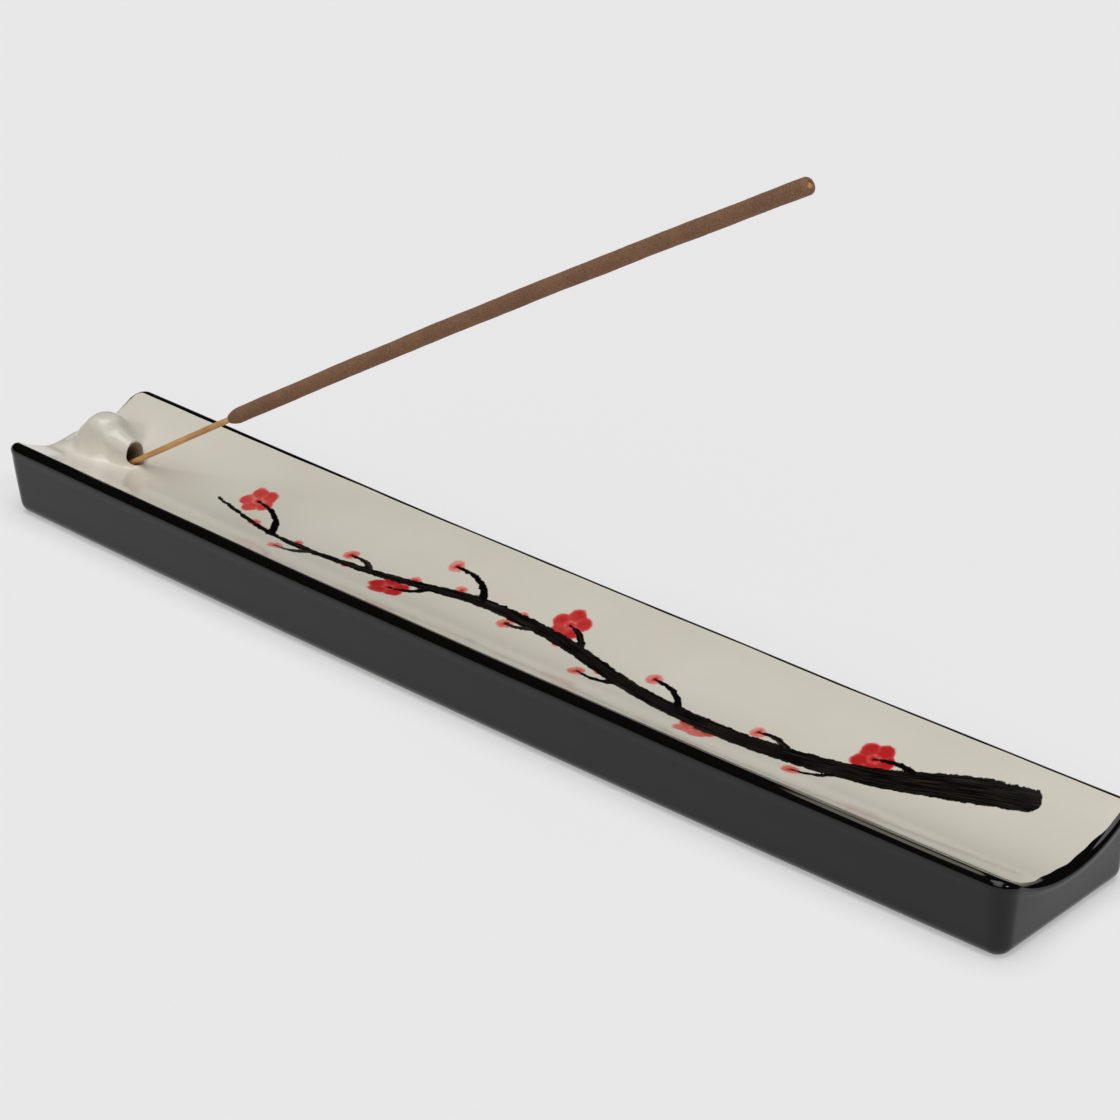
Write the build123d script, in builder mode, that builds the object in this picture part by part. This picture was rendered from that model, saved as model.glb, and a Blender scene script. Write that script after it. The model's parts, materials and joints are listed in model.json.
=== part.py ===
from build123d import *
import os
from math import atan, cos, degrees, radians, sin, sqrt

# Incense boat, all in mm. +X is along the trough and the stick leans towards +X.
# +Z is up, and the origin is on the table under the middle of the tray.

# Tray
tray_length = 258
tray_width = 39
tray_height = 16
trough_radius = 30          # the trough is one round channel that runs out at both ends
trough_depth = 5.6
corner_radius = 4           # upright corners
wall_draft = 1              # how far each wall leans in from the rim down to the table
base_edge_radius = 2.8      # soft edge where the walls turn under
foot_width = 5              # ring that the tray stands on
foot_recess = 1.5           # hollow under the tray, inside that ring

# Glaze
glaze = 0.45                # thickness of each coat
glaze_line = 0.35           # the black coat stops this far above the table
end_band = 1.6              # black edge across each end of the trough
side_band = 2.4             # black edge along each long side

# Stick holder and its hole
knob_x = -116.5
knob_top = 19.7
knob_radius = 4.8
snout_x = -112.4            # lower lobe in front of the knob, round the hole's mouth
snout_top = 17.6
snout_radius = 4.1
foot_flare = 0.5            # how much wider each lobe is where it meets the trough
hole_x = -108.3             # the middle of the hole's mouth
hole_z = 13.4
hole_angle = 40             # degrees above level
hole_mouth_radius = 2.5
hole_end_radius = 1.25
hole_depth = 14.8
hole_overrun = 4            # how far the cutting cone runs out past the mouth

# Incense stick
stick_x = -108.82           # a point on the stick's middle line, beside the hole's lower lip
stick_z = 11.08
stick_angle = 31.5          # it leans lower than its hole and rests on the lip
core_radius = 0.65
paste_radius = 1.65
length_in_hole = 12
bare_length = 35.9
paste_length = 171.4
tip_dimple = 0.5            # the core stops this far inside the end of the paste
tip_rounding = 0.5

# Worked out from the sizes above
half_length = tray_length / 2
half_width = tray_width / 2
trough_floor = tray_height - trough_depth
trough_centre = trough_floor + trough_radius
draft_angle = degrees(atan(wall_draft / tray_height))
white_length = tray_length - 2 * end_band
white_width = tray_width - 2 * side_band
cut_length = tray_length + 2

os.makedirs("parts", exist_ok=True)


def tray_block(inset, top):
    """Adds the tray's outer shape with its walls moved in by inset and its top at this height."""
    with BuildSketch(Plane.XY.offset(top)) as outline:
        RectangleRounded(
            tray_length - 2 * inset, tray_width - 2 * inset, corner_radius - inset
        )
    extrude(outline.sketch, amount=-top, taper=draft_angle)
    fillet(edges().group_by(Axis.Z)[0], base_edge_radius)


def trough_bar(radius, length, mode):
    """Adds, cuts or keeps a round bar along the trough."""
    with BuildSketch(Plane.YZ) as section:
        with Locations((0, trough_centre)):
            Circle(radius)
    extrude(section.sketch, amount=length / 2, both=True, mode=mode)


def cut_foot_recess():
    inset = wall_draft + foot_width
    with BuildSketch() as outline:
        RectangleRounded(tray_length - 2 * inset, tray_width - 2 * inset, corner_radius / 2)
    extrude(outline.sketch, amount=foot_recess, mode=Mode.SUBTRACT)


def slanted(x, z, angle):
    """The plane square to a line that rises at this angle towards +X."""
    slope = radians(angle)
    return Plane((x, 0, z), x_dir=(0, 1, 0), z_dir=(cos(slope), 0, sin(slope)))


def cut_hole():
    """The hole narrows evenly from past its mouth down to its blind end."""
    widening = (hole_mouth_radius - hole_end_radius) / hole_depth
    mouth = slanted(hole_x, hole_z, hole_angle)
    with Locations(mouth.offset(-hole_depth)):
        Cone(
            hole_end_radius,
            hole_mouth_radius + widening * hole_overrun,
            hole_depth + hole_overrun,
            align=(Align.CENTER, Align.CENTER, Align.MIN),
            mode=Mode.SUBTRACT,
        )


def dome(x, top, radius):
    """A round-topped lobe that flares a little down to below the floor of the trough."""
    centre = top - radius
    under = trough_floor - 1
    with BuildSketch(Plane.XZ) as half_section:
        with BuildLine():
            Polyline(
                (x, top), (x, under), (x + radius + foot_flare, under), (x + radius, centre)
            )
            CenterArc((x, centre), radius, 0, 90)
        make_face()
    revolve(half_section.sketch, axis=Axis((x, 0, 0), (0, 0, 1)))


# Stoneware body: bare under the foot, glazed everywhere else.
with BuildPart() as clay_body:
    tray_block(glaze, tray_height - glaze)
    trough_bar(trough_radius + glaze, cut_length, Mode.SUBTRACT)
    cut_foot_recess()
    cut_hole()
clay_body.part.label = "clay_body"
export_step(clay_body.part, "parts/clay_body.step")

# White glaze that lines the trough, inside a black edge on all four sides.
with BuildPart() as trough_glaze:
    with Locations((0, 0, tray_height / 2)):
        Box(white_length, white_width, tray_height)
    trough_bar(trough_radius + glaze, cut_length, Mode.INTERSECT)
    trough_bar(trough_radius, cut_length, Mode.SUBTRACT)
    cut_hole()
trough_glaze.part.label = "trough_glaze"
export_step(trough_glaze.part, "parts/trough_glaze.step")

# Black glaze on the walls, over the rim and along the edge of the trough.
with BuildPart() as outer_glaze:
    tray_block(0, tray_height)
    trough_bar(trough_radius, cut_length, Mode.SUBTRACT)
    with Locations((0, 0, 0)):
        Box(
            cut_length, tray_width, glaze_line,
            align=(Align.CENTER, Align.CENTER, Align.MIN),
            mode=Mode.SUBTRACT,
        )
    cut_foot_recess()
    add(clay_body.part, mode=Mode.SUBTRACT)
    add(trough_glaze.part, mode=Mode.SUBTRACT)
    cut_hole()
outer_glaze.part.label = "outer_glaze"
export_step(outer_glaze.part, "parts/outer_glaze.step")

# Knob luted onto the floor of the trough, with the slanted blind hole for the stick.
with BuildPart() as stick_holder:
    dome(knob_x, knob_top, knob_radius)
    dome(snout_x, snout_top, snout_radius)
    trough_bar(trough_radius, cut_length, Mode.INTERSECT)
    cut_hole()
stick_holder.part.label = "stick_holder"
export_step(stick_holder.part, "parts/stick_holder.step")

# Bamboo core of the incense stick, from inside the hole to just short of the tip.
with BuildPart() as bamboo_core:
    stick = slanted(stick_x, stick_z, stick_angle)
    with Locations(stick.offset(-length_in_hole)):
        Cylinder(
            core_radius,
            length_in_hole + bare_length + paste_length - tip_dimple,
            align=(Align.CENTER, Align.CENTER, Align.MIN),
        )
bamboo_core.part.label = "bamboo_core"
export_step(bamboo_core.part, "parts/bamboo_core.step")

# Incense paste dipped round the core.
with BuildPart() as incense_paste:
    with Locations(stick.offset(bare_length)):
        Cylinder(
            paste_radius, paste_length, align=(Align.CENTER, Align.CENTER, Align.MIN)
        )
    fillet(edges().filter_by(GeomType.CIRCLE), tip_rounding)
    with Locations(stick.offset(bare_length)):
        Cylinder(
            core_radius,
            paste_length,
            align=(Align.CENTER, Align.CENTER, Align.MIN),
            mode=Mode.SUBTRACT,
        )
incense_paste.part.label = "incense_paste"
export_step(incense_paste.part, "parts/incense_paste.step")

for piece in (clay_body, trough_glaze, outer_glaze, stick_holder, bamboo_core, incense_paste):
    box = piece.part.bounding_box()
    print(piece.part.label, len(piece.part.solids()), box.min, box.max, piece.part.volume)
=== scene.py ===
import json
import math

import bpy
import numpy as np
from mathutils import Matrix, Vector


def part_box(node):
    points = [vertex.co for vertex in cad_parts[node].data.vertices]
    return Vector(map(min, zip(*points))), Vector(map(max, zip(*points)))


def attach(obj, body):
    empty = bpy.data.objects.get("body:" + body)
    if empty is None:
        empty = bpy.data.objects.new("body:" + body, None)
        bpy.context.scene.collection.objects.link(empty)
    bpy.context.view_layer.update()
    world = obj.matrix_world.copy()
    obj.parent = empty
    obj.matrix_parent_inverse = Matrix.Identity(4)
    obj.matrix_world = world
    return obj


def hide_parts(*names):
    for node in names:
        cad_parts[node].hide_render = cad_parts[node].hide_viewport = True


# Incense boat: a glazed stoneware tray with a painted trough, a knob with a slanted hole,
# and a loose incense stick. Shapes are worked out in millimetres and stored in metres.

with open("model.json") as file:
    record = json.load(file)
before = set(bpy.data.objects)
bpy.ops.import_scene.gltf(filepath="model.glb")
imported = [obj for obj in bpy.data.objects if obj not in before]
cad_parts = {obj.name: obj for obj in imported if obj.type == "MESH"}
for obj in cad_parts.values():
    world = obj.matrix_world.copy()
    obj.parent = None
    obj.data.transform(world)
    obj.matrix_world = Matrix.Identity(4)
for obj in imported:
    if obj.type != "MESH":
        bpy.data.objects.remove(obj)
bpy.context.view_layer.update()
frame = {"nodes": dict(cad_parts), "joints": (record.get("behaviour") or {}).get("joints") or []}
mm = 0.001
print("frame loaded:", ", ".join(sorted(frame["nodes"])))


def linearColour(hexColour, alpha=1.0):  # sRGB hex to linear
    parts = [int(hexColour[i:i + 2], 16) / 255 for i in (1, 3, 5)]
    return [c / 12.92 if c <= 0.04045 else ((c + 0.055) / 1.055) ** 2.4 for c in parts] + [alpha]


def cadBox(node):  # a CAD node's two corners, in millimetres
    low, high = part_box(node)
    return np.array(low) / mm, np.array(high) / mm


def smoothStep(low, high, value):  # 0 below low, 1 above high, an S curve between
    t = np.clip((value - low) / (high - low), 0, 1)
    return t * t * (3 - 2 * t)


def gridFaces(rows, columns, wrapRows=False, wrapColumns=False):
    # quads between neighbours of a rows x columns grid of points, joined up where it wraps
    r = np.arange(rows if wrapRows else rows - 1)[:, None]
    c = np.arange(columns if wrapColumns else columns - 1)[None, :]
    r2, c2 = (r + 1) % rows, (c + 1) % columns
    quads = [r * columns + c, r * columns + c2, r2 * columns + c2, r2 * columns + c]
    return np.stack(np.broadcast_arrays(*quads), -1).reshape(-1, 4)


def makePiece(name, points, quads, body, replaced, material, caps=()):
    # points in millimetres, quads as rows of four, caps as extra faces that close an end
    mesh = bpy.data.meshes.new(name)
    faces = quads.tolist() + [list(map(int, cap)) for cap in caps]
    mesh.from_pydata((points * mm).tolist(), [], faces)
    mesh.validate()
    mesh.shade_smooth()
    mesh.set_sharp_from_angle(angle=math.radians(50))
    piece = bpy.data.objects.new(name, mesh)
    bpy.context.scene.collection.objects.link(piece)
    mesh.materials.append(material)
    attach(piece, body)
    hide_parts(replaced)
    print(name, len(mesh.vertices), "points,", len(mesh.polygons), "faces")
    return piece


def addAttribute(piece, name, values):  # one number, or three, for each point
    kind = "FLOAT_VECTOR" if values.ndim == 2 else "FLOAT"
    key = "vector" if values.ndim == 2 else "value"
    attribute = piece.data.attributes.new(name, kind, "POINT")
    attribute.data.foreach_set(key, values.astype(np.float32).ravel())


def addNode(tree, kind, inputs=(), **settings):  # a node with its settings and its links or values
    node = tree.nodes.new(kind)
    for key, value in settings.items():
        setattr(node, key, value)
    for key, value in dict(inputs).items():
        if isinstance(value, bpy.types.NodeSocket):
            tree.links.new(value, node.inputs[key])
        else:
            node.inputs[key].default_value = value
    return node


def newMaterial(name):  # a material with its shader and its node tree
    material = bpy.data.materials.new(name)
    material.use_nodes = True
    return material, material.node_tree, material.node_tree.nodes["Principled BSDF"]


def blackGlaze():
    # Black-fired glaze on stoneware: a thick dark glass, mirror-like, with a slow ripple from
    # its melt. It thins to brown where it runs off the inner edge of the rim, and its lighter
    # streaks there are partly painted reflection.
    look = dict(colour="#0b0a09", thin="#68645a", roughness=0.08, rippleSize=9, rippleDepth=0.05)
    material, tree, shader = newMaterial("black fired glaze")
    place = addNode(tree, "ShaderNodeTexCoord").outputs["Object"]
    ripple = addNode(tree, "ShaderNodeTexNoise", {
        "Vector": place, "Scale": 1 / (look["rippleSize"] * mm), "Detail": 2})
    bump = addNode(tree, "ShaderNodeBump", {
        "Height": ripple.outputs["Fac"], "Strength": 0.35, "Distance": look["rippleDepth"] * mm})
    # Streaks lie along the rim, each about half a millimetre wide: thin brown glaze and painted reflection.
    rimPlace = addNode(tree, "ShaderNodeAttribute", attribute_name="rimPlace")
    drawn = addNode(tree, "ShaderNodeMapping", {
        "Vector": rimPlace.outputs["Vector"], "Scale": (1 / 70, 1 / 0.42, 1)})
    streak = addNode(tree, "ShaderNodeTexNoise", {
        "Vector": drawn.outputs["Vector"], "Scale": 1, "Detail": 2, "Roughness": 0.5})
    edge = addNode(tree, "ShaderNodeAttribute", attribute_name="thinEdgeSheen")
    thinAndSheen = addNode(tree, "ShaderNodeMath", {
        0: edge.outputs["Fac"], 1: 0.5, 2: streak.outputs["Fac"]}, operation="MULTIPLY_ADD")
    amount = addNode(tree, "ShaderNodeMapRange", {
        "Value": thinAndSheen.outputs[0], "From Min": 0.91, "From Max": 1.0, "To Max": 0.95})
    colour = addNode(tree, "ShaderNodeMix", {
        "Factor": amount.outputs["Result"], "A": linearColour(look["colour"]),
        "B": linearColour(look["thin"])}, data_type="RGBA")
    tree.links.new(colour.outputs["Result"], shader.inputs["Base Color"])
    tree.links.new(bump.outputs["Normal"], shader.inputs["Normal"])
    shader.inputs["Roughness"].default_value = look["roughness"]
    shader.inputs["IOR"].default_value = 1.4
    return material


def whiteGlaze(painted):
    # Milky white glaze over slip: warm off-white, glossy, with faint clouds where it lies thicker.
    # The painted one carries brushed iron-black ink and red enamel under the same gloss, and dark
    # streaks by the front rim that are thin glaze and painted reflection of the black rim.
    look = dict(thin="#d3cdbe", thick="#dcd8cd", run="#1d1b14", roughness=0.14, cloudSize=22,
                rippleSize=7, holeLip="#b0a293", holeWall="#8c7763", holeEndShaded="#3a2a1e")
    ink = dict(solid="#080706", wash="#332d26", pale="#8f8676", edgeWobble=1.5, streakLength=8,
               streakWidth=0.3)
    red = dict(deep="#bb2327", mid="#d1504a", pale="#e6aa9a", edgeWobble=1.8)
    material, tree, shader = newMaterial("painted white glaze" if painted else "white fired glaze")
    place = addNode(tree, "ShaderNodeTexCoord").outputs["Object"]
    cloud = addNode(tree, "ShaderNodeTexNoise", {
        "Vector": place, "Scale": 1 / (look["cloudSize"] * mm), "Detail": 3})
    glaze = addNode(tree, "ShaderNodeMix", {
        "Factor": cloud.outputs["Fac"], "A": linearColour(look["thin"]),
        "B": linearColour(look["thick"])}, data_type="RGBA").outputs["Result"]
    ripple = addNode(tree, "ShaderNodeTexNoise", {
        "Vector": place, "Scale": 1 / (look["rippleSize"] * mm), "Detail": 1})
    bump = addNode(tree, "ShaderNodeBump", {
        "Height": ripple.outputs["Fac"], "Strength": 0.3, "Distance": 0.05 * mm})
    tree.links.new(bump.outputs["Normal"], shader.inputs["Normal"])
    shader.inputs["Roughness"].default_value = look["roughness"]
    shader.inputs["IOR"].default_value = 1.5
    if not painted:
        # The hole is bare inside, brown clay with soot, and painted shade darkens it the deeper it goes.
        inside = addNode(tree, "ShaderNodeAttribute", attribute_name="holeInside")
        holeRamp = addNode(tree, "ShaderNodeValToRGB", {"Fac": inside.outputs["Fac"]})
        stops = holeRamp.color_ramp.elements
        stops[0].position, stops[0].color = 0.1, linearColour(look["holeLip"])
        stops[1].position, stops[1].color = 0.8, linearColour(look["holeEndShaded"])
        middle = stops.new(0.3)
        middle.color = linearColour(look["holeWall"])
        bare = addNode(tree, "ShaderNodeMapRange", {
            "Value": inside.outputs["Fac"], "From Min": 0.02, "From Max": 0.1})
        colour = addNode(tree, "ShaderNodeMix", {
            "Factor": bare.outputs["Result"], "A": glaze, "B": holeRamp.outputs["Color"]},
            data_type="RGBA")
        tree.links.new(colour.outputs["Result"], shader.inputs["Base Color"])
        return material

    # Both paints: 1 at the outline, more inside it, less outside, all in millimetres.
    fine = addNode(tree, "ShaderNodeTexNoise", {
        "Vector": place, "Scale": 1 / (1.6 * mm), "Detail": 4, "Roughness": 0.62})
    broad = addNode(tree, "ShaderNodeTexNoise", {
        "Vector": place, "Scale": 1 / (2.8 * mm), "Detail": 3, "Roughness": 0.55})
    petal = addNode(tree, "ShaderNodeAttribute", attribute_name="petal")
    petalEdge = addNode(tree, "ShaderNodeMath", {
        0: broad.outputs["Fac"], 1: red["edgeWobble"], 2: petal.outputs["Fac"]},
        operation="MULTIPLY_ADD")
    petalMask = addNode(tree, "ShaderNodeMapRange", {
        "Value": petalEdge.outputs[0], "From Min": 0.8 + 0.5 * red["edgeWobble"],
        "From Max": 1.3 + 0.5 * red["edgeWobble"]}, interpolation_type="SMOOTHSTEP")
    strength = addNode(tree, "ShaderNodeAttribute", attribute_name="petalTone")
    uneven = addNode(tree, "ShaderNodeMath", {
        0: broad.outputs["Fac"], 1: 0.55, 2: strength.outputs["Fac"]}, operation="MULTIPLY_ADD")
    tone = addNode(tree, "ShaderNodeMapRange", {
        "Value": uneven.outputs[0], "From Min": 0.35, "From Max": 1.3})
    redRamp = addNode(tree, "ShaderNodeValToRGB", {"Fac": tone.outputs["Result"]})
    stops = redRamp.color_ramp.elements
    stops[0].position, stops[0].color = 0.05, linearColour(red["pale"])
    stops[1].position, stops[1].color = 0.9, linearColour(red["deep"])
    middle = stops.new(0.55)
    middle.color = linearColour(red["mid"])
    withRed = addNode(tree, "ShaderNodeMix", {
        "Factor": petalMask.outputs["Result"], "A": glaze, "B": redRamp.outputs["Color"]},
        data_type="RGBA")
    # Ink flows along each stroke, so its streaks follow the stroke's own length and width.
    flow = addNode(tree, "ShaderNodeAttribute", attribute_name="inkFlow")
    hairs = addNode(tree, "ShaderNodeMapping", {
        "Vector": flow.outputs["Vector"],
        "Scale": (1 / ink["streakLength"], 1 / ink["streakWidth"], 1)})
    streak = addNode(tree, "ShaderNodeTexNoise", {
        "Vector": hairs.outputs["Vector"], "Scale": 1, "Detail": 3})
    stroke = addNode(tree, "ShaderNodeAttribute", attribute_name="ink")
    strokeEdge = addNode(tree, "ShaderNodeMath", {
        0: fine.outputs["Fac"], 1: ink["edgeWobble"], 2: stroke.outputs["Fac"]},
        operation="MULTIPLY_ADD")
    strokeMask = addNode(tree, "ShaderNodeMapRange", {
        "Value": strokeEdge.outputs[0], "From Min": 0.9 + 0.5 * ink["edgeWobble"],
        "From Max": 1.12 + 0.5 * ink["edgeWobble"]}, interpolation_type="SMOOTHSTEP")
    load = addNode(tree, "ShaderNodeAttribute", attribute_name="inkLoad")
    dense = addNode(tree, "ShaderNodeMath", {
        0: streak.outputs["Fac"], 1: 0.7, 2: load.outputs["Fac"]}, operation="MULTIPLY_ADD")
    inkTone = addNode(tree, "ShaderNodeMapRange", {
        "Value": dense.outputs[0], "From Min": 0.8, "From Max": 1.2})
    inkRamp = addNode(tree, "ShaderNodeValToRGB", {"Fac": inkTone.outputs["Result"]})
    stops = inkRamp.color_ramp.elements
    stops[0].position, stops[0].color = 0.0, linearColour(ink["pale"])
    stops[1].position, stops[1].color = 1.0, linearColour(ink["solid"])
    middle = stops.new(0.5)
    middle.color = linearColour(ink["wash"])
    withInk = addNode(tree, "ShaderNodeMix", {
        "Factor": strokeMask.outputs["Result"], "A": withRed.outputs["Result"],
        "B": inkRamp.outputs["Color"]}, data_type="RGBA")
    # Near the front rim the white runs thin over the black, in dark streaks that lie along the tray and
    # also stand as painted reflection of the black rim; they reach further in towards the far end.
    flat = addNode(tree, "ShaderNodeAttribute", attribute_name="flatPlace")
    along = addNode(tree, "ShaderNodeMapping", {
        "Vector": flat.outputs["Vector"], "Scale": (1 / 38, 1 / 0.42, 1)})
    runs = addNode(tree, "ShaderNodeTexNoise", {
        "Vector": along.outputs["Vector"], "Scale": 1, "Detail": 3, "Roughness": 0.6})
    thinness = addNode(tree, "ShaderNodeAttribute", attribute_name="runThinReflection")
    thinner = addNode(tree, "ShaderNodeMath", {
        0: runs.outputs["Fac"], 1: 1.5, 2: thinness.outputs["Fac"]}, operation="MULTIPLY_ADD")
    runReflectionMask = addNode(tree, "ShaderNodeMapRange", {
        "Value": thinner.outputs[0], "From Min": 1.05, "From Max": 1.45, "To Max": 0.93})
    withRunsAndReflection = addNode(tree, "ShaderNodeMix", {
        "Factor": runReflectionMask.outputs["Result"], "A": withInk.outputs["Result"],
        "B": linearColour(look["run"])}, data_type="RGBA")
    tree.links.new(withRunsAndReflection.outputs["Result"], shader.inputs["Base Color"])
    return material


def bareStoneware():
    # Unglazed stoneware: dry and matte, warm brown, with grog of about half a millimetre.
    look = dict(colour="#8c7763", dark="#6c5744", grogSize=0.6, roughness=0.88)
    material, tree, shader = newMaterial("bare stoneware")
    place = addNode(tree, "ShaderNodeTexCoord").outputs["Object"]
    grog = addNode(tree, "ShaderNodeTexNoise", {
        "Vector": place, "Scale": 1 / (look["grogSize"] * mm), "Detail": 4, "Roughness": 0.7})
    stain = addNode(tree, "ShaderNodeTexNoise", {"Vector": place, "Scale": 1 / (18 * mm)})
    mixed = addNode(tree, "ShaderNodeMath", {
        0: grog.outputs["Fac"], 1: stain.outputs["Fac"]}, operation="MULTIPLY")
    amount = addNode(tree, "ShaderNodeMapRange", {
        "Value": mixed.outputs[0], "From Min": 0.15, "From Max": 0.4})
    colour = addNode(tree, "ShaderNodeMix", {
        "Factor": amount.outputs["Result"], "A": linearColour(look["dark"]),
        "B": linearColour(look["colour"])}, data_type="RGBA")
    bump = addNode(tree, "ShaderNodeBump", {
        "Height": grog.outputs["Fac"], "Strength": 0.7, "Distance": 0.12 * mm})
    tree.links.new(colour.outputs["Result"], shader.inputs["Base Color"])
    tree.links.new(bump.outputs["Normal"], shader.inputs["Normal"])
    shader.inputs["Roughness"].default_value = look["roughness"]
    return material


def splitBamboo(lean):
    # Split bamboo: straw-brown, with straight fibres a tenth of a millimetre wide.
    look = dict(light="#e6b478", dark="#bd8347", fibreWidth=0.16, fibreLength=14, roughness=0.55)
    material, tree, shader = newMaterial("split bamboo")
    place = addNode(tree, "ShaderNodeTexCoord").outputs["Object"]
    upright = addNode(tree, "ShaderNodeMapping", {"Vector": place, "Rotation": (0, lean, 0)})
    across = 1 / (look["fibreWidth"] * mm)
    drawn = addNode(tree, "ShaderNodeMapping", {
        "Vector": upright.outputs["Vector"],
        "Scale": (1 / (look["fibreLength"] * mm), across, across)})
    fibre = addNode(tree, "ShaderNodeTexNoise", {
        "Vector": drawn.outputs["Vector"], "Scale": 1, "Detail": 2})
    patch = addNode(tree, "ShaderNodeTexNoise", {"Vector": place, "Scale": 1 / (9 * mm)})
    tone = addNode(tree, "ShaderNodeMath", {
        0: fibre.outputs["Fac"], 1: patch.outputs["Fac"]}, operation="ADD")
    amount = addNode(tree, "ShaderNodeMapRange", {
        "Value": tone.outputs[0], "From Min": 0.75, "From Max": 1.25})
    colour = addNode(tree, "ShaderNodeMix", {
        "Factor": amount.outputs["Result"], "A": linearColour(look["dark"]),
        "B": linearColour(look["light"])}, data_type="RGBA")
    bump = addNode(tree, "ShaderNodeBump", {
        "Height": fibre.outputs["Fac"], "Strength": 0.5, "Distance": 0.04 * mm})
    tree.links.new(colour.outputs["Result"], shader.inputs["Base Color"])
    tree.links.new(bump.outputs["Normal"], shader.inputs["Normal"])
    shader.inputs["Roughness"].default_value = look["roughness"]
    return material


def incensePaste():
    # Incense paste: wood and herb powder rolled on wet and dried, matte, with a fine sandy grain.
    look = dict(light="#97704f", dark="#684735", grainSize=0.3, roughness=0.92)
    material, tree, shader = newMaterial("dried incense paste")
    place = addNode(tree, "ShaderNodeTexCoord").outputs["Object"]
    grain = addNode(tree, "ShaderNodeTexNoise", {
        "Vector": place, "Scale": 1 / (look["grainSize"] * mm), "Detail": 3, "Roughness": 0.65})
    patch = addNode(tree, "ShaderNodeTexNoise", {"Vector": place, "Scale": 1 / (6 * mm)})
    tone = addNode(tree, "ShaderNodeMath", {
        0: patch.outputs["Fac"], 1: 0.25, 2: grain.outputs["Fac"]}, operation="MULTIPLY_ADD")
    amount = addNode(tree, "ShaderNodeMapRange", {
        "Value": tone.outputs[0], "From Min": 0.42, "From Max": 0.85})
    colour = addNode(tree, "ShaderNodeMix", {
        "Factor": amount.outputs["Result"], "A": linearColour(look["dark"]),
        "B": linearColour(look["light"])}, data_type="RGBA")
    bump = addNode(tree, "ShaderNodeBump", {
        "Height": grain.outputs["Fac"], "Strength": 0.8, "Distance": 0.1 * mm})
    tree.links.new(colour.outputs["Result"], shader.inputs["Base Color"])
    tree.links.new(bump.outputs["Normal"], shader.inputs["Normal"])
    shader.inputs["Roughness"].default_value = look["roughness"]
    return material


trayLow, trayHigh = cadBox("outer_glaze")
tray = dict(
    halfLength=trayHigh[0], halfWidth=trayHigh[1], rimHeight=trayHigh[2],
    troughRadius=30.0, troughDepth=5.6,
    cornerRadius=4.0, draft=1.0, baseRadius=2.8,
    rimRadius=1.9,      # roundness of the rim's outer shoulder
    frontTighter=0.35, farTighter=0.75,     # the rim is less round on these two sides
    rimSoftness=0.5,    # how softly the trough turns into the rim
    glazeThickness=0.42,
    glazeLine=61,       # degrees round the base edge where the black glaze stops
    bow=1.45,           # the middle of the tray bends this far towards the front
    ripple=0.06,
    nearLean=1.3,       # the near end's wall leans in this much more, low down
    footInset=5.9, footRecess=1.5,
)


knob = dict(
    x=-118.3, height=8.2,
    steepSize=4.8, steepPower=5.2,     # the bell's reach and power in front and behind
    farSize=7.0, farPower=2.7,
    levelFrom=-127.4,   # level from here to the near rim
    ridgeRadius=4.1, ridgeTop=18.1,     # a ridge runs down from the knob to the hole
    snoutX=-110.2, snoutZ=12.9, snoutRadius=2.65,
    ridgeSoftness=0.8,
    patchX=-114.8, patchLength=11.2, patchWidth=8.8,    # oval of trough that belongs to the knob
    holeX=-107.6, holeZ=13.5, holeAngle=39, mouthTilt=27,   # the mouth faces lower than the hole
    mouthRadius=2.45, endRadius=1.25, holeDepth=14.8, lipSoftness=0.5,
)


def behindKnob(x, y):
    # 0 on the knob's steep side, which looks to the hole and the front rim, and 1 on its far side
    fromKnob = np.sqrt((x - knob["x"]) ** 2 + y**2 + 0.3)
    away = -(0.85 * (x - knob["x"]) - 0.53 * y) / fromKnob
    return smoothStep(-0.62, 0.45, away)


def knobRise(x, y):
    # a bell whose size and power turn with the direction: steep in front, running out behind
    k = knob
    behind = behindKnob(x, y)
    size = k["steepSize"] + (k["farSize"] - k["steepSize"]) * behind
    power = k["steepPower"] + (k["farPower"] - k["steepPower"]) * behind
    held = k["levelFrom"] + 0.9 * np.logaddexp(0, (x - k["levelFrom"]) / 0.9)
    fromKnob = np.hypot(held - k["x"], y)
    return k["height"] * np.exp(-((fromKnob / size) ** power))


def troughTop(x, y):
    # height of the top surface: the trough's arc, held softly below the rim, with a slight ripple
    # and the far side of the knob's bell
    arc = tray["rimHeight"] - tray["troughDepth"] + tray["troughRadius"] - np.sqrt(
        tray["troughRadius"] ** 2 - y**2)
    gap = arc - tray["rimHeight"]
    level = tray["rimHeight"] + 0.5 * (gap - np.sqrt(gap**2 + tray["rimSoftness"] ** 2))
    rise = knobRise(x, y) * behindKnob(x, y)
    return level + rise + tray["ripple"] * (np.sin(x / 19 + 0.4) + 0.6 * np.sin(x / 8.3 + y / 6))


def bowed(points):
    # slides points across the tray by a parabola along its length, still near the stick's hole,
    # and leans the near end's wall in by a curve that grows from its rim down
    share = 1 - (points[..., 0] / tray["halfLength"]) ** 2
    moved = points.copy()
    moved[..., 1] -= tray["bow"] * (share - 0.31)
    low = np.clip(1 - points[..., 2] / 13, 0, 1) ** 1.4
    moved[..., 0] += tray["nearLean"] * low * smoothStep(-118, -128.5, points[..., 0])
    return moved


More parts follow.
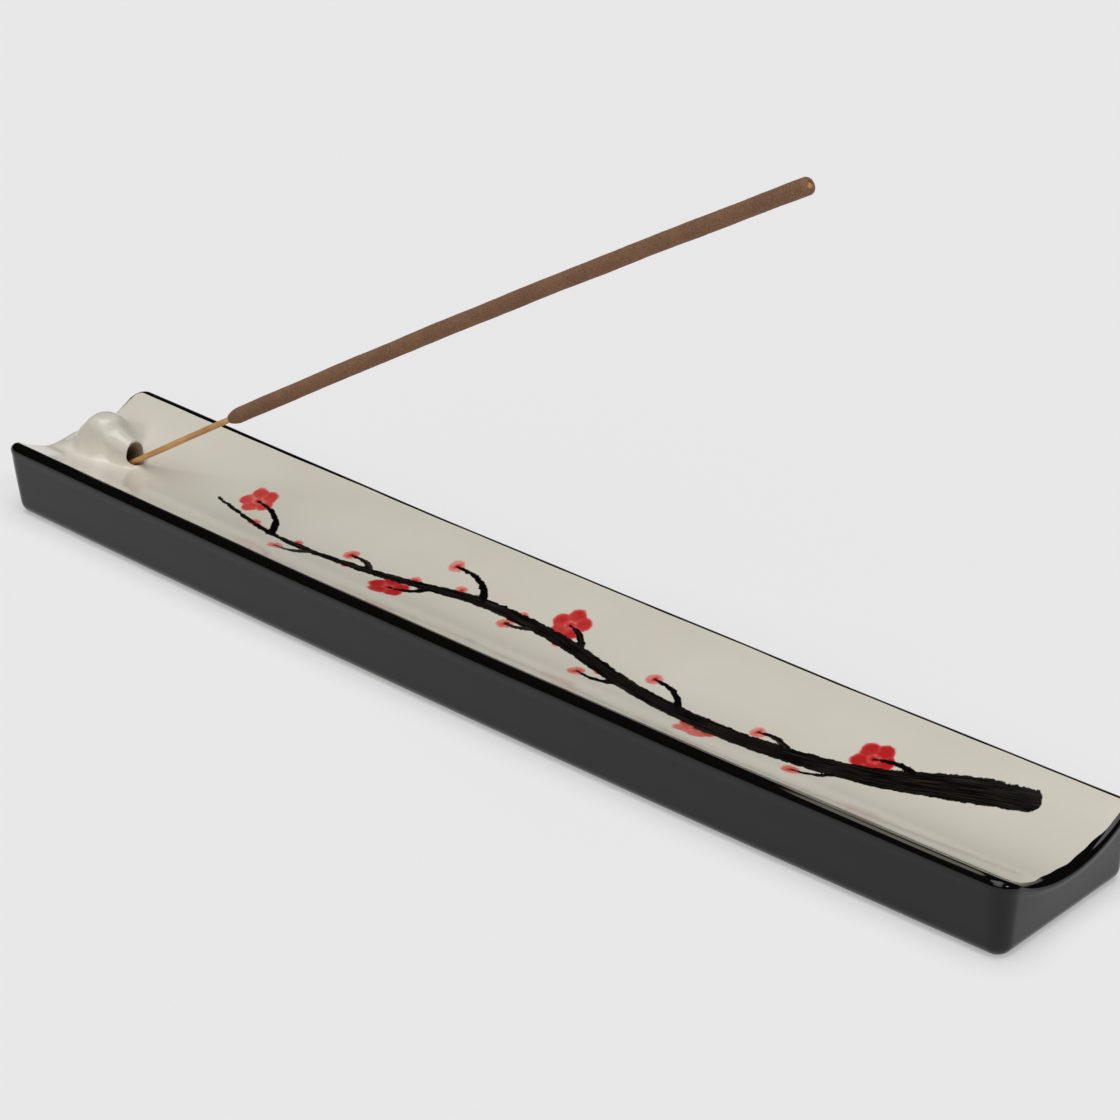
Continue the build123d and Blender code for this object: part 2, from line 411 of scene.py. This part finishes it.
def trayOutline():
    # once round the tray: each point has an anchor, from -1 to 1 along each side, and a normal
    turn = np.linspace(0, math.pi / 2, 15)
    longSide, shortSide = np.linspace(1, -1, 262)[1:-1], np.linspace(1, -1, 38)[1:-1]
    corner = [np.stack([np.cos(turn + a), np.sin(turn + a)], 1) for a in np.arange(4) * math.pi / 2]
    one = np.ones
    anchors = [
        [1, 1] * one((15, 2)), np.stack([longSide, one(260)], 1),
        [-1, 1] * one((15, 2)), np.stack([-one(36), shortSide], 1),
        [-1, -1] * one((15, 2)), np.stack([-longSide, -one(260)], 1),
        [1, -1] * one((15, 2)), np.stack([one(36), -shortSide], 1),
    ]
    normals = [
        corner[0], [0, 1] * one((260, 2)), corner[1], [-1, 0] * one((36, 2)),
        corner[2], [0, -1] * one((260, 2)), corner[3], [1, 0] * one((36, 2)),
    ]
    return np.concatenate(anchors), np.concatenate(normals)


anchors, normals = trayOutline()


def ring(inset, height):
    # the outline moved in by inset, at a height that is a number, an array or a rule of x and y
    inset = np.broadcast_to(inset, len(anchors))[:, None]
    radius = np.maximum(tray["cornerRadius"] - inset, 0.5)
    reach = np.array([tray["halfLength"], tray["halfWidth"]]) - (inset + radius)
    plan = anchors * reach + normals * radius
    z = height(plan[:, 0], plan[:, 1]) if callable(height) else height
    return np.column_stack([plan, np.broadcast_to(z, len(plan))])


baseRings = 9       # rings round the tray's base edge


def wallRings(depth, lowestAngle, topInsets):
    # rings from under the base edge, up the leaning wall, over the rim and in across the top,
    # all this deep under the glaze's outer surface
    t = tray
    towardsFar = smoothStep(0.4, 0.85, anchors[:, 0])
    front, far = smoothStep(0, 1, -normals[:, 1]), smoothStep(0, 1, normals[:, 0])
    rim = t["rimRadius"] - np.maximum(
        t["frontTighter"] * front * (1 + 1.1 * towardsFar), t["farTighter"] * far)
    base = t["baseRadius"]
    shoulderTop = ring(rim, troughTop)[:, 2]
    rings = []
    for angle in np.radians(np.linspace(lowestAngle, 0, baseRings)):
        lean = t["draft"] * (1 - base / t["rimHeight"])
        rings.append(ring(
            lean + base - (base - depth) * math.cos(angle), base - (base - depth) * math.sin(angle)))
    for share in np.linspace(0, 1, 12)[1:-1]:
        z = base + share * (shoulderTop - rim - base)
        rings.append(ring(t["draft"] * (1 - np.mean(z) / t["rimHeight"]) + depth, z))
    for angle in np.radians(np.linspace(0, 90, 11)):
        z = shoulderTop - rim + (rim - depth) * math.sin(angle)
        rings.append(ring(rim - (rim - depth) * math.cos(angle), z))
    for inset in topInsets:
        rings.append(ring(inset, lambda x, y: troughTop(x, y) - depth))
    return rings


def makeOuterGlaze():
    # a skin: its outer rings, then the same rings one glaze thickness deeper, back the other way
    topInsets = np.linspace(2.0, 4.7, 10)
    outer = wallRings(0, tray["glazeLine"], topInsets)
    inner = wallRings(tray["glazeThickness"], tray["glazeLine"], topInsets)
    rings = np.stack(outer + inner[::-1])
    count, around = rings.shape[:2]
    points = bowed(rings.reshape(-1, 3))
    piece = makePiece(
        "outerGlaze", points, gridFaces(count, around, True, True), "tray", "outer_glaze",
        blackGlaze())
    # The black is thin on the front rim's crest, with painted reflection streaks, first along its inner
    # side and then, towards the far end, right across it.
    x, y = rings[..., 0], rings[..., 1]
    crestRings, crestWidth = 16, 5.5    # the rings over the rim's crest, and its width
    across = np.zeros((count, around))
    across[len(outer) - crestRings:len(outer)] = np.linspace(0, 1, crestRings)[:, None]
    inner = smoothStep(35, 75, x) * smoothStep(0.25, 0.65, across)
    outerSide = smoothStep(60, 92, x) * smoothStep(0.0, 0.22, across)
    onFront = smoothStep(-10, -15, y) * smoothStep(126.5, 122, x)
    addAttribute(piece, "thinEdgeSheen", (np.maximum(inner, outerSide) * onFront).ravel())
    rimPlace = np.stack([x, across * crestWidth, 0 * x], -1)
    addAttribute(piece, "rimPlace", rimPlace.reshape(-1, 3))
    return piece


def makeClayBody():
    # from the recess under the tray, over the foot ring, up inside the glaze and across the top
    t = tray
    foot = t["draft"] + t["baseRadius"] - 0.2
    under = [
        ring(t["footInset"] + 0.5, t["footRecess"]), ring(t["footInset"] + 0.15, t["footRecess"] - 0.08),
        ring(t["footInset"], t["footRecess"] - 0.3), ring(t["footInset"] - 0.05, 0.3),
        ring(t["footInset"] - 0.2, 0.06), ring(t["footInset"] - 0.45, 0.0), ring(foot, 0.0),
    ]
    depth = t["glazeThickness"]
    rounded = t["baseRadius"] - depth
    lean = t["draft"] * (1 - t["baseRadius"] / t["rimHeight"])
    for angle in np.radians(np.linspace(80, 0, 9)):
        under.append(ring(
            lean + t["baseRadius"] - rounded * math.cos(angle), rounded - rounded * math.sin(angle)))
    # The rings of the base edge coincide here, so only the last of them is kept.
    walls = wallRings(depth, 0, [1.6, 2.4])[baseRings - 1:]
    inside = [ring(inset, clayTop) for inset in np.arange(3.2, 17.5, 0.9)]
    rings = np.stack(under + walls + inside)
    count, around = rings.shape[:2]
    first = np.arange(around)
    last = (count - 1) * around + first
    return makePiece(
        "clayBody", bowed(rings.reshape(-1, 3)), gridFaces(count, around, False, True),
        "tray", "clay_body", bareStoneware(), caps=[first[::-1], last])


def clayTop(x, y):
    # under the white glaze, with a pit that leaves room for the stick's hole
    level = troughTop(x, y) - 0.5
    pit = np.clip((1 - np.maximum(abs(x + 114) / 9, abs(y) / 4.4)) / 0.2, 0, 1)
    return level + (2.1 - level) * pit


# Painting on the trough: a traditional plum branch of a general kind, grown by rule from one stem.

plum = dict(
    # the stem from its thick foot to its tip: x along the tray, y across it, width of the stroke
    stem=[(112, 11, 5.0), (100, 8, 6.6), (80, 1, 5.4), (58, -3, 5.0), (34, -2, 4.0), (10, 3, 3.4),
          (-14, 4, 2.8), (-38, -1, 2.2), (-62, -3, 1.6), (-84, 1, 0.8)],
    twigs=13, twigLength=11.0, twigWidth=1.3, twigTurn=62, twigBend=34,    # turn and bend in degrees
    lowest=-11.5, highest=14.5,     # twigs keep between these, clear of the rims
    petalReach=2.2, petalRadius=2.05, budRadius=1.8,
    tones=(1.0, 0.7, 0.86),         # 1 for deep red and less for a thin wash
)


def curveThrough(points, steps=10):
    # a Catmull-Rom curve: it passes through every point and leaves each along its neighbours' line
    p = np.array(points, float)
    p = np.vstack([2 * p[0] - p[1], p, 2 * p[-1] - p[-2]])
    t = np.linspace(0, 1, steps, endpoint=False)[:, None, None]
    a, b, c, d = p[:-3], p[1:-2], p[2:-1], p[3:]
    line = 0.5 * (2 * b + (c - a) * t + (2 * a - 5 * b + 4 * c - d) * t**2
                  + (3 * b - a - 3 * c + d) * t**3)
    return np.vstack([line.transpose(1, 0, 2).reshape(-1, p.shape[1]), p[-2:-1]])


def growBranch():
    # Twigs leave the stem by turns on either side, each at an angle that closes towards its tip.
    # Every third twig ends in a blossom of five round petals, and the others in a bud.
    stem = curveThrough(plum["stem"])
    strokes = [dict(load=0.82, points=plum["stem"])]
    blossoms, buds = [], []
    for number in range(plum["twigs"]):
        at = int(len(stem) * (0.16 + 0.8 * number / plum["twigs"]))
        step = stem[at + 1] - stem[at - 1]
        side = -1 if number % 2 == 0 else 1
        share = np.linspace(0, 1, 4)
        turn = np.radians(plum["twigTurn"] - plum["twigBend"] * share) * side
        heading = math.atan2(step[1], step[0]) + turn
        length = plum["twigLength"] * (1 + 0.3 * math.sin(1.7 * number)) * (1 if side < 0 else 0.7)
        x = stem[at, 0] + length * share * np.cos(heading)
        y = np.clip(stem[at, 1] + length * share * np.sin(heading), plum["lowest"], plum["highest"])
        width = plum["twigWidth"] * (1.5 - share)
        strokes.append(dict(load=1.0 - 0.1 * (number % 4), points=list(zip(x, y, width))))
        tip = (x[-1], y[-1])
        if number % 3 == 0:
            around = 0.5 * number + np.arange(5) * 2 * math.pi / 5
            petals = [(tip[0] + plum["petalReach"] * math.cos(a), tip[1] + plum["petalReach"] * math.sin(a),
                       plum["petalRadius"]) for a in around]
            blossoms.append(dict(tone=plum["tones"][len(blossoms) % 3], heart=tip, petals=petals))
        else:
            buds.append((*tip, plum["budRadius"]))
        buds.append((x[1] - 3.4, y[1] + 2.6 * side, 0.8 * plum["budRadius"]))
    return strokes, blossoms, buds


def paintBranch(x, y, strokes):
    # for each point: its depth inside the nearest stroke plus 1, that stroke's load of ink,
    # and its place along and across the stroke
    ink, load = np.zeros(len(x)), np.zeros(len(x))
    flow = np.zeros((len(x), 3))
    for number, stroke in enumerate(strokes):
        line = curveThrough(stroke["points"])
        reach = line[:, 2].max() / 2 + 1.2
        low, high = line[:, :2].min(0) - reach, line[:, :2].max(0) + reach
        near = np.flatnonzero((x > low[0]) & (x < high[0]) & (y > low[1]) & (y < high[1]))
        start, step = line[:-1], np.diff(line, axis=0)
        length = np.hypot(step[:, 0], step[:, 1])
        run = np.concatenate([[0], np.cumsum(length)])
        away = np.stack([x[near, None] - start[:, 0], y[near, None] - start[:, 1]], -1)
        t = np.clip((away * step[:, :2]).sum(-1) / length**2, 0, 1)
        gap = away - t[..., None] * step[:, :2]
        along = run[:-1] + t * length
        halfWidth = (start[:, 2] + t * step[:, 2]) / 2
        depth = halfWidth - np.hypot(gap[..., 0], gap[..., 1])
        best = depth.argmax(1)
        row = np.arange(len(near))
        side = (gap[row, best, 0] * step[best, 1] - gap[row, best, 1] * step[best, 0]) / length[best]
        ahead = (gap[row, best] * step[best, :2]).sum(-1) / length[best]
        value = depth[row, best] + 1
        better = value > np.maximum(ink[near], 0)
        chosen = near[better]
        ink[chosen] = value[better]
        load[chosen] = stroke["load"]
        flow[chosen, 0] = (along[row, best] + ahead)[better]
        flow[chosen, 1] = side[better]
        flow[chosen, 2] = number * 3.7
    return ink, load, flow


def paintBlossoms(x, y, blossoms, buds):
    # depth inside the nearest petal plus 1, and how strong the red is: paler at the very edge,
    # along the seams between petals and in a ring round the heart
    petal, tone = np.zeros(len(x)), np.zeros(len(x))
    for blossom in blossoms:
        heartX, heartY = blossom["heart"]
        discs = blossom["petals"] + [(heartX, heartY, 2.7)]
        depths = np.array([radius * 1.07 - np.hypot(x - px, y - py) for px, py, radius in discs])
        ordered = np.sort(depths[:-1], 0)
        best, second = np.maximum(ordered[-1], depths[-1]), ordered[-2]
        seam = np.exp(-(((ordered[-1] - second - 0.3) / 0.3) ** 2)) * smoothStep(0, 0.7, second)
        toHeart = np.hypot(x - heartX, (y - heartY) * 1.2)
        ring = np.exp(-(((toHeart - 1.2) / 0.3) ** 2))
        dot = np.exp(-((toHeart / 0.6) ** 2))
        strength = blossom["tone"] * (0.95 - 0.2 * seam - 0.3 * ring + 0.1 * dot)
        strength *= 0.4 + 0.6 * smoothStep(0.0, 0.6, best)
        inside = best > -1
        petal = np.where(inside, np.maximum(petal, best + 1), petal)
        tone = np.where(inside, np.maximum(tone, strength), tone)
    for number, (px, py, radius) in enumerate(buds):
        away = np.hypot(x - px, y - py)
        slant = 0.9 + 0.5 * math.sin(number * 2.4)
        along = (x - px) * math.cos(slant) + (y - py) * math.sin(slant)
        across = (y - py) * math.cos(slant) - (x - px) * math.sin(slant)
        heart = 0.8 * np.exp(-((along / (0.52 * radius)) ** 2) - (across / (0.34 * radius)) ** 2)
        rim = 0.16 * np.exp(-(((away / radius - 0.78) / 0.14) ** 2))
        inside = smoothStep(-0.5, 0.2, radius - away)
        tone = np.maximum(tone, (0.22 + heart + rim) * inside)
        petal = np.maximum(petal, radius - away + 1)
    return np.maximum(petal, 0), tone


whiteThickness = 0.35
whiteProud = 0.045       # the white glaze lies on top of the black by this much


holeRings = dict(floor=5, wall=30, lip=7)
fadeRings = 4       # the brown of the hole fades out over this many rings past its lip


def ovalShare(x, y):  # 0 at the middle of the knob's oval and 1 at its edge
    return np.hypot((x - knob["patchX"]) / knob["patchLength"], y / knob["patchWidth"])


def knobTop(x, y):
    # the bell, joined softly to a ridge: the top of a ball that shrinks as it slides to the hole,
    # with near-upright sides below its middle
    k = knob
    base = troughTop(x, y) + whiteProud + 0.012
    rise = knobRise(x, y)
    shared = rise * behindKnob(x, y)
    slide = np.linspace(0, 1, 24)
    ballX = k["x"] + (k["snoutX"] - k["x"]) * slide
    ballR = k["ridgeRadius"] + (k["snoutRadius"] - k["ridgeRadius"]) * slide ** 0.72
    start = k["ridgeTop"] - k["ridgeRadius"]
    ballZ = start + (k["snoutZ"] - start) * slide
    away = np.hypot(x[..., None] - ballX, y[..., None])
    inside = ballZ + np.sqrt(np.maximum(ballR**2 - away**2, 0))
    ridge = (inside - 5 * np.maximum(away - ballR * 0.98, 0)).max(-1) - (base - shared)
    soft = k["ridgeSoftness"]
    joined = soft * np.log(np.exp(rise / soft) + np.exp(np.clip(ridge, -20, 20) / soft))
    return base + (joined - shared) * smoothStep(1.0, 0.8, ovalShare(x, y))


def holeSurface(surface, extra, patchRows):
    # rings from the blind end of the hole, up its cone, round its lip and out over the surface to
    # the edge of the oval; extra makes the cone that much wider and deeper
    k = knob
    angle = math.radians(k["holeAngle"])
    outward = np.array([math.cos(angle), 0, math.sin(angle)])
    tilt = math.radians(k["mouthTilt"])
    upward = np.array([-math.sin(tilt), 0, math.cos(tilt)])
    turn = np.linspace(0, 2 * math.pi, 320, endpoint=False)[:, None, None]
    spoke = np.cos(turn) * np.array([0, 1, 0]) + np.sin(turn) * upward
    taper = (k["mouthRadius"] - k["endRadius"]) / k["holeDepth"]

    def conePoints(depth):  # depth is columns of distance inside the mouth, for each spoke
        radius = k["mouthRadius"] - taper * depth + extra
        centre = np.array([k["holeX"], 0, k["holeZ"]]) - depth[..., None] * outward
        return centre + radius[..., None] * spoke

    deepest = k["holeDepth"] + extra
    search = np.linspace(deepest, -8, 900)[None, :]
    tested = conePoints(np.repeat(search, len(turn), 0))
    above = tested[..., 2] - surface(tested[..., 0], tested[..., 1])
    first = np.argmax(above > 0, 1)
    row = np.arange(len(turn))
    part = above[row, first] / (above[row, first] - above[row, first - 1])
    mouthDepth = (search[0, first] + part * (search[0, first - 1] - search[0, first]))[:, None]
    mouth = conePoints(mouthDepth)[:, 0]

    flat = turn[:, :, 0]
    edge = np.column_stack([
        k["patchX"] - k["patchLength"] * np.sin(flat), k["patchWidth"] * np.cos(flat)])
    soft = k["lipSoftness"]

    def overSurface(share):  # share of the way from the mouth to the oval's edge
        plan = mouth[:, None, :2] + share[..., None] * (edge - mouth[:, :2])[:, None]
        return np.concatenate([plan, surface(plan[..., 0], plan[..., 1])[..., None]], -1)

    reach = np.hypot(*(edge - mouth[:, :2]).T)[:, None]
    end = conePoints(np.full((len(turn), 1), deepest))
    middle = end.mean(0, keepdims=True)
    floor = middle + (end - middle) * np.linspace(0.06, 0.9, holeRings["floor"])[None, :, None]
    up = np.linspace(1, 0, holeRings["wall"])
    wall = conePoints(mouthDepth + soft + (deepest - mouthDepth - soft) * up)
    below, beyond = wall[:, -1:], overSurface(soft / reach)
    t = np.linspace(0, 1, holeRings["lip"] + 2)[None, 1:-1, None]
    lip = (1 - t) ** 2 * below + 2 * t * (1 - t) * mouth[:, None] + t**2 * beyond
    out = overSurface(soft / reach + (1 - soft / reach) * np.linspace(0, 1, patchRows))
    return np.concatenate([floor, wall, lip, out], 1).transpose(1, 0, 2)


def makeStickHolder(material):
    # the visible surface, closed underneath by the same rings a glaze thickness further in
    top = holeSurface(knobTop, 0, 120)
    under = holeSurface(lambda x, y: troughTop(x, y) - whiteThickness, whiteThickness, 24)
    rings = np.concatenate([top, under[::-1]])
    count, around = rings.shape[:2]
    first = np.arange(around)
    last = (count - 1) * around + first
    piece = makePiece(
        "stickHolder", bowed(rings.reshape(-1, 3)), gridFaces(count, around, False, True)[:, ::-1],
        "tray", "stick_holder", material, caps=[first, last[::-1]])
    # how far inside the hole, which sets its painted shade: 1 at its end, falling up the wall and over the
    # lip
    inside = np.zeros(count)
    wallEnd = holeRings["floor"] + holeRings["wall"]
    fade = holeRings["lip"] + fadeRings
    inside[:holeRings["floor"]] = 1
    inside[holeRings["floor"]:wallEnd] = np.linspace(1, 0.1, holeRings["wall"])
    inside[wallEnd:wallEnd + fade] = np.linspace(0.1, 0, fade)
    addAttribute(piece, "holeInside", np.repeat(inside, around))
    return piece


lining = dict(      # how far the white glaze stays inside the tray's outline on each side
    nearBand=0.6, farBand=2.1, frontBand=2.25, backBand=2.0, corner=2.6, farCorner=1.3,
)


def frontBand(x):  # the black shows wider along the front rim towards the far end
    return lining["frontBand"] + 0.35 * smoothStep(-90, -20, x) + 1.15 * smoothStep(30, 105, x)


def backBand(x):  # and wider along the back rim towards the near end
    return lining["backBand"] + 0.4 * smoothStep(-30, -115, x)


def thinRunsAndReflection(x, y):
    # how thin the white is, which also sets its painted reflection streaks: 1 at its front edge,
    # falling to 0 over a band that widens with x
    fromEdge = y + tray["halfWidth"] - frontBand(x)
    band = 0.5 + 1.9 * smoothStep(-20, 70, x)
    return np.clip(1 - fromEdge / band, -1, 1) * 0.75


def makeTroughGlaze(material):
    # a fine grid over the trough with rounded corners, on top of the black, draped over the near
    # shoulder, cut out round the knob and closed by a second grid just below it
    t = lining
    near, far = t["nearBand"] - tray["halfLength"], tray["halfLength"] - t["farBand"]
    x = np.linspace(near, far, 600)[:, None]

    def cornerCut(gap, radius):  # how far a round corner draws the side in, this far from the end
        inside = np.clip(radius - gap, 0, radius)
        return radius - np.sqrt(radius**2 - inside**2)

    sway = 0.06 * np.sin(x / 5.3) + 0.04 * np.sin(x / 2.3 + 1)
    front = frontBand(x) - tray["halfWidth"] + cornerCut(np.minimum(x - near, far - x), t["corner"])
    back = tray["halfWidth"] - backBand(x) - cornerCut(x - near, t["corner"])
    front, back = front + sway, back + 0.5 * sway - cornerCut(far - x, t["farCorner"])
    y = front + (back - front) * np.linspace(0, 1, 82)[None, :]
    wave = 0.16 * np.sin(y / 1.9 + 0.5) + 0.08 * np.sin(y / 0.8)
    reachOut = 0.8 * smoothStep(2, 15, y) + 0.5 * smoothStep(-6, -13, y)
    x = x + 0.7 * smoothStep(8, 14, y) * smoothStep(near + 4, near, x)
    x = x + (reachOut + wave) * smoothStep(far - 8, far, x)
    overShoulder = np.clip(tray["rimRadius"] - (x + tray["halfLength"]), 0, tray["rimRadius"])
    drape = tray["rimRadius"] - np.sqrt(tray["rimRadius"] ** 2 - overShoulder**2)
    shoulder = tray["rimRadius"] - tray["halfLength"]
    topZ = troughTop(np.maximum(x, shoulder), y) + whiteProud - drape
    top = np.stack([x, y, topZ], -1).reshape(-1, 3)
    under = top - [0, 0, whiteThickness]
    rows, columns = x.shape

    middleX = (x[1:, 1:] + x[:-1, :-1]) / 2
    middleY = (y[1:, 1:] + y[:-1, :-1]) / 2
    kept = np.pad(ovalShare(middleX, middleY) > 0.95, 1)
    cells = gridFaces(rows, columns)[kept[1:-1, 1:-1].ravel()]
    index = np.arange(rows * columns).reshape(rows, columns)
    below = rows * columns
    rims = []   # quads down each edge where a kept cell meets no cell
    for edge, a, b in (
        (kept[1:-1, 1:] & ~kept[1:-1, :-1], index[:-1], index[1:]),
        (~kept[1:-1, 1:] & kept[1:-1, :-1], index[1:], index[:-1]),
        (kept[1:, 1:-1] & ~kept[:-1, 1:-1], index[:, 1:], index[:, :-1]),
        (~kept[1:, 1:-1] & kept[:-1, 1:-1], index[:, :-1], index[:, 1:]),
    ):
        start, stop = a[edge], b[edge]
        rims.append(np.stack([start, start + below, stop + below, stop], -1))
    quads = np.concatenate([cells[:, ::-1], cells + below] + rims)
    points = np.concatenate([top, under])
    used, quads = np.unique(quads, return_inverse=True)
    points, quads = points[used], quads.reshape(-1, 4)
    piece = makePiece(
        "troughGlaze", bowed(points), quads, "tray", "trough_glaze", material)
    strokes, blossoms, buds = growBranch()
    ink, load, flow = paintBranch(points[:, 0], points[:, 1], strokes)
    petal, tone = paintBlossoms(points[:, 0], points[:, 1], blossoms, buds)
    for name, values in (
        ("ink", ink), ("inkLoad", load), ("inkFlow", flow), ("petal", petal), ("petalTone", tone),
        ("flatPlace", points * [1, 1, 0]), ("runThinReflection", thinRunsAndReflection(points[:, 0], points[:, 1])),
    ):
        addAttribute(piece, name, values)
    return piece


pull = np.array(frame["joints"][0]["axis"])     # the stick's own direction
coreLow, coreHigh = cadBox("bamboo_core")
pasteLow, pasteHigh = cadBox("incense_paste")
stick = dict(
    coreRadius=coreHigh[1], pasteRadius=pasteHigh[1],
    arch=1.05,      # the stick is not quite straight: its middle stands this much high
    middle=(coreLow + coreHigh) / 2,
    coreLength=(coreHigh[0] - coreLow[0] - 2 * coreHigh[1] * pull[2]) / pull[0],
    pasteLength=(pasteHigh[0] - pasteLow[0] - 2 * pasteHigh[1] * pull[2]) / pull[0],
)
stick["pasteMiddle"] = (pasteLow + pasteHigh) / 2
sideways = np.array([0.0, 1.0, 0.0])
upright = np.cross(sideways, pull) * -1


def tube(middle, along, radius):
    # rings of 40 points about the stick's line, which rises by a low arch from the hole to the
    # tip; along and radius have one value for each ring, or one for each point
    turn = np.linspace(0, 2 * math.pi, 40, endpoint=False)
    spoke = np.cos(turn)[:, None] * sideways + np.sin(turn)[:, None] * upright
    along = np.broadcast_to(along, (len(along), 40))
    radius = np.broadcast_to(radius, (len(radius), 40))
    line = middle + along[..., None] * pull
    share = np.clip((line[..., 0] - coreLow[0] - 12) / (coreHigh[0] - coreLow[0] - 12), 0, 1)
    arch = stick["arch"] * 4 * share * (1 - share)
    return line + (arch[..., None] * upright) + radius[..., None] * spoke


def makeBambooCore():
    # a split splint: four soft flats, small steps in width along it, and cut ends
    s = stick
    half = s["coreLength"] / 2
    along = np.concatenate([[-half, -half], np.linspace(-half + 0.1, half - 0.1, 380), [half, half]])
    turn = np.linspace(0, 2 * math.pi, 40, endpoint=False)
    squareness = 0.06 * np.cos(4 * turn[None, :] + 0.02 * along[:, None])
    radius = s["coreRadius"] * (
        0.95 + squareness + 0.03 * np.sin(along / 7.1)[:, None] + 0.02 * np.sin(along / 2.3)[:, None])
    radius = np.minimum(radius, s["coreRadius"] * 1.03)
    radius[[0, -1]] *= 0.5
    radius[[1, -2]] *= 0.9
    rings = tube(s["middle"], along[:, None], radius)
    count, around = rings.shape[:2]
    first = np.arange(around)
    last = (count - 1) * around + first
    return makePiece(
        "bambooCore", rings.reshape(-1, 3), gridFaces(count, around, False, True),
        "incense_stick", "bamboo_core", splitBamboo(math.asin(pull[2])),
        caps=[first[::-1], last])


def makeIncensePaste():
    # dipped coat: it swells from a feathered start, runs nearly even with small lumps, and is
    # rounded at the tip round a shallow dimple
    s = stick
    half = s["pasteLength"] / 2
    body = np.linspace(-half, half, 1100)
    turn = np.linspace(0, 2 * math.pi, 40, endpoint=False)
    start = 0.62 + 0.38 * np.sqrt(smoothStep(0, 3.2, body + half))
    tip = np.sqrt(np.clip(1 - (np.clip(body - half + 0.9, 0, None) / 0.9) ** 2 * 0.75, 0, 1))
    lump = 0.012 * np.sin(body / 4.1) + 0.008 * np.sin(body / 1.3 + 2)
    grit = np.random.default_rng(7).normal(0, 0.012, (len(body), 40))
    radius = s["pasteRadius"] * ((0.97 + lump) * start * tip)[:, None] + grit
    radius = radius + 0.03 * np.sin(3 * turn + body[:, None] / 5)
    inner = s["coreRadius"] * 0.9
    dimple = np.array([[half + 0.02], [half - 0.12], [half - 0.45], [half - 0.5]])
    dimpleRadius = np.array([[0.52], [0.4], [0.32], [0.1]]) * s["pasteRadius"]
    alongAll = np.concatenate([[[-half]], body[:, None], dimple])
    radiusAll = np.concatenate([
        np.full((1, 40), inner), radius, np.broadcast_to(dimpleRadius, (4, 40))])
    rings = tube(s["pasteMiddle"], alongAll, radiusAll)
    count, around = rings.shape[:2]
    first = np.arange(around)
    last = (count - 1) * around + first
    return makePiece(
        "incensePaste", rings.reshape(-1, 3), gridFaces(count, around, False, True),
        "incense_stick", "incense_paste", incensePaste(), caps=[first[::-1], last])


studio = dict(
    floorColour="#c4c4c4", floorGlow=0.33,     # the floor glows a little, so shadows stay faint
    fill="#20242a", fillStrength=0.3,
)

# Broad soft lights: strength, how many degrees wide, then where it stands round the tray and how
# high. The small one gives the knob its highlights.
lamps = dict(
    overhead=(1.75, 52, 20, 86), front=(1.0, 50, 28, 46), small=(0.32, 9, 84, 40),
)


def makeStudio():
    mesh = bpy.data.meshes.new("floor")
    corners = np.array([[-4, -4, 0], [4, -4, 0], [4, 4, 0], [-4, 4, 0]], float)
    mesh.from_pydata(corners.tolist(), [], [[0, 1, 2, 3]])
    floor = bpy.data.objects.new("floor", mesh)
    bpy.context.scene.collection.objects.link(floor)
    material, tree, shader = newMaterial("plain pale paper sweep")
    shader.inputs["Base Color"].default_value = linearColour(studio["floorColour"])
    shader.inputs["Roughness"].default_value = 1.0
    shader.inputs["Specular IOR Level"].default_value = 0.0
    shader.inputs["Emission Color"].default_value = (1, 1, 1, 1)
    shader.inputs["Emission Strength"].default_value = studio["floorGlow"]
    mesh.materials.append(material)
    for name, (strength, spread, azimuth, elevation) in lamps.items():
        lamp = bpy.data.lights.new(name, "SUN")
        lamp.energy, lamp.angle = strength, math.radians(spread)
        lampObject = bpy.data.objects.new(name, lamp)
        a, e = math.radians(azimuth), math.radians(elevation)
        toward = Vector((math.sin(a) * math.cos(e), -math.cos(a) * math.cos(e), math.sin(e)))
        lampObject.rotation_mode = "QUATERNION"
        lampObject.rotation_quaternion = toward.to_track_quat("Z", "Y")
        lampObject.location = toward
        bpy.context.scene.collection.objects.link(lampObject)
    world = bpy.data.worlds.new("studio")
    world.use_nodes = True
    background = world.node_tree.nodes["Background"]
    background.inputs["Color"].default_value = linearColour(studio["fill"])
    background.inputs["Strength"].default_value = studio["fillStrength"]
    bpy.context.scene.world = world


bpy.context.scene.view_settings.view_transform = "Standard"     # plain colours, as they are given

view = dict(azimuth=42.1, elevation=27.4, distance=0.660, lens=113.0, target=(0.0115, 0.0, 0.0294))


def makeCamera():
    camera = bpy.data.cameras.new("camera")
    camera.lens, camera.sensor_width = view["lens"], 36
    cameraObject = bpy.data.objects.new("camera", camera)
    a, e = math.radians(view["azimuth"]), math.radians(view["elevation"])
    back = Vector((math.sin(a) * math.cos(e), -math.cos(a) * math.cos(e), math.sin(e)))
    cameraObject.location = Vector(view["target"]) + back * view["distance"]
    cameraObject.rotation_mode = "QUATERNION"
    cameraObject.rotation_quaternion = (-back).to_track_quat("-Z", "Y")
    bpy.context.scene.collection.objects.link(cameraObject)
    bpy.context.scene.camera = cameraObject


makeOuterGlaze()
makeClayBody()
makeTroughGlaze(whiteGlaze(painted=True))
makeStickHolder(whiteGlaze(painted=False))
print("tray made")
makeBambooCore()
makeIncensePaste()
print("stick made")
makeStudio()
makeCamera()
print("studio made")
